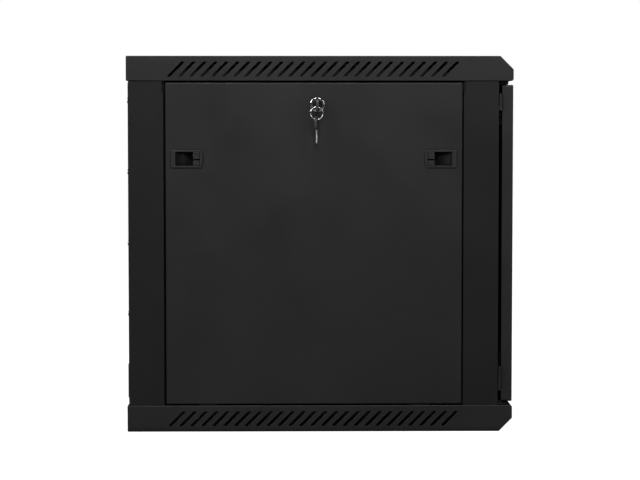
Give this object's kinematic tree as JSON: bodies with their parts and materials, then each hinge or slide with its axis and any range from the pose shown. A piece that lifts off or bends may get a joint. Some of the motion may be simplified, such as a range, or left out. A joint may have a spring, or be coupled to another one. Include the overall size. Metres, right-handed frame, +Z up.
{
  "type": "wall-mount network rack cabinet",
  "caption": "Compact 19-inch wall rack cabinet: glass front door, lift-off lockable side panels with slide latches, slotted top and bottom caps, keys in one side lock.",
  "frame": {"origin": "middle of the bottom cap's flat underside, halfway along its width and depth", "axes": "+Z up; -Y towards the viewer of the glass door; -X is the side whose lock holds the keys"},
  "size_m": [0.634, 0.653, 0.635],
  "materials": {
    "powder_coat": "satin black powder coat",
    "zinc_plate": "bright zinc plating",
    "lock_chrome": "polished chrome plate",
    "lock_dark": "dark burnished die-cast zinc",
    "key_nickel": "nickel plate, lightly worn",
    "key_plastic": "moulded black plastic key head",
    "latch_plastic": "moulded black nylon",
    "rubber_black": "matt black rubber",
    "door_glass": "grey tinted toughened glass"
  },
  "bodies": {
    "root": {"top_cover": "powder_coat", "bottom_cover": "powder_coat", "front_left_post": "powder_coat", "front_right_post": "powder_coat", "rear_left_post": "powder_coat", "rear_right_post": "powder_coat", "frame_bolts": "zinc_plate", "upper_left_side_rail": "powder_coat", "upper_right_side_rail": "powder_coat", "lower_left_side_rail": "powder_coat", "lower_right_side_rail": "powder_coat", "front_left_rack_rail": "powder_coat", "front_right_rack_rail": "powder_coat", "rear_left_rack_rail": "powder_coat", "rear_right_rack_rail": "powder_coat", "rack_rail_bolts": "zinc_plate", "back_panel": "powder_coat", "back_panel_screws": "zinc_plate", "rear_cable_grommet": "rubber_black", "top_cable_cover": "powder_coat", "bottom_cable_cover": "powder_coat", "cable_cover_screws": "zinc_plate", "earth_stud": "zinc_plate", "hinge_post_leaves": "powder_coat", "hinge_pins": "powder_coat", "hinge_screws": "zinc_plate", "rubber_buffers": "rubber_black", "door_draught_strips": "rubber_black"},
    "door": {"door_frame": "powder_coat", "door_glass": "door_glass", "glass_seal": "rubber_black", "glass_clips": "zinc_plate", "glass_clip_screws": "zinc_plate", "hinge_door_leaves": "powder_coat", "door_lock_barrel": "lock_chrome", "door_lock_nut": "zinc_plate"},
    "door_lock": {"door_lock_plug": "lock_dark", "door_lock_cam": "zinc_plate"},
    "left_panel": {"left_side_panel": "powder_coat", "left_lock_barrel": "lock_chrome", "left_lock_nut": "zinc_plate", "left_front_latch_housing": "latch_plastic", "left_rear_latch_housing": "latch_plastic"},
    "left_lock": {"left_lock_plug": "lock_dark", "left_lock_cam": "zinc_plate", "lock_key_blade": "key_nickel", "lock_key_head": "key_plastic"},
    "right_panel": {"right_side_panel": "powder_coat", "right_lock_barrel": "lock_chrome", "right_lock_nut": "zinc_plate", "right_latch_housings": "latch_plastic"},
    "right_lock": {"right_lock_plug": "lock_dark", "right_lock_cam": "zinc_plate"},
    "spare_key": {"spare_key_blade": "key_nickel", "spare_key_head": "key_plastic"},
    "key_ring": {"key_ring": "lock_chrome"},
    "left_front_latch": {"left_front_latch_slider": "latch_plastic"},
    "left_rear_latch": {"left_rear_latch_slider": "latch_plastic"},
    "right_front_latch": {"right_front_latch_slider": "latch_plastic"},
    "right_rear_latch": {"right_rear_latch_slider": "latch_plastic"}
  },
  "joints": [
    {"name": "door_hinge", "type": "hinge", "parent": "root", "child": "door", "pos_m": [-0.2975, -0.30475, 0.318], "axis": [0, 0, -1], "range_deg": [0, 180]},
    {"name": "door_lock_turn", "type": "hinge", "parent": "door", "child": "door_lock", "pos_m": [0.256, -0.326, 0.3184], "axis": [0, -1, 0], "range_deg": [0, 90]},
    {"name": "left_panel_tilt", "type": "hinge", "parent": "root", "child": "left_panel", "pos_m": [-0.2985, 0.01, 0.0455], "axis": [0, -1, 0], "range_deg": [0, 25]},
    {"name": "left_lock_turn", "type": "hinge", "parent": "left_panel", "child": "left_lock", "pos_m": [-0.299, 0.0044, 0.5532], "axis": [-1, 0, 0], "range_deg": [0, 90]},
    {"name": "key_ring_swing", "type": "hinge", "parent": "left_lock", "child": "key_ring", "pos_m": [-0.3205, 0.0044, 0.5494], "axis": [0, 1, 0], "range_deg": [-10, 70]},
    {"name": "spare_key_swing", "type": "hinge", "parent": "key_ring", "child": "spare_key", "pos_m": [-0.3205, 0.0056, 0.53895], "axis": [-1, 0, 0], "range_deg": [-90, 0]},
    {"name": "left_front_latch_slide", "type": "slide", "parent": "left_panel", "child": "left_front_latch", "axis": [0, -1, 0], "range_m": [0, 0.008]},
    {"name": "left_rear_latch_slide", "type": "slide", "parent": "left_panel", "child": "left_rear_latch", "axis": [0, 1, 0], "range_m": [0, 0.008]},
    {"name": "right_panel_tilt", "type": "hinge", "parent": "root", "child": "right_panel", "pos_m": [0.2985, 0.01, 0.0455], "axis": [0, 1, 0], "range_deg": [0, 25]},
    {"name": "right_lock_turn", "type": "hinge", "parent": "right_panel", "child": "right_lock", "pos_m": [0.299, 0.0044, 0.5532], "axis": [-1, 0, 0], "range_deg": [0, 90]},
    {"name": "right_front_latch_slide", "type": "slide", "parent": "right_panel", "child": "right_front_latch", "axis": [0, -1, 0], "range_m": [0, 0.008]},
    {"name": "right_rear_latch_slide", "type": "slide", "parent": "right_panel", "child": "right_rear_latch", "axis": [0, 1, 0], "range_m": [0, 0.008]}
  ],
  "couplings": [
    {"joint": "spare_key_swing", "follows": "left_lock_turn", "ratio": -1}
  ]
}
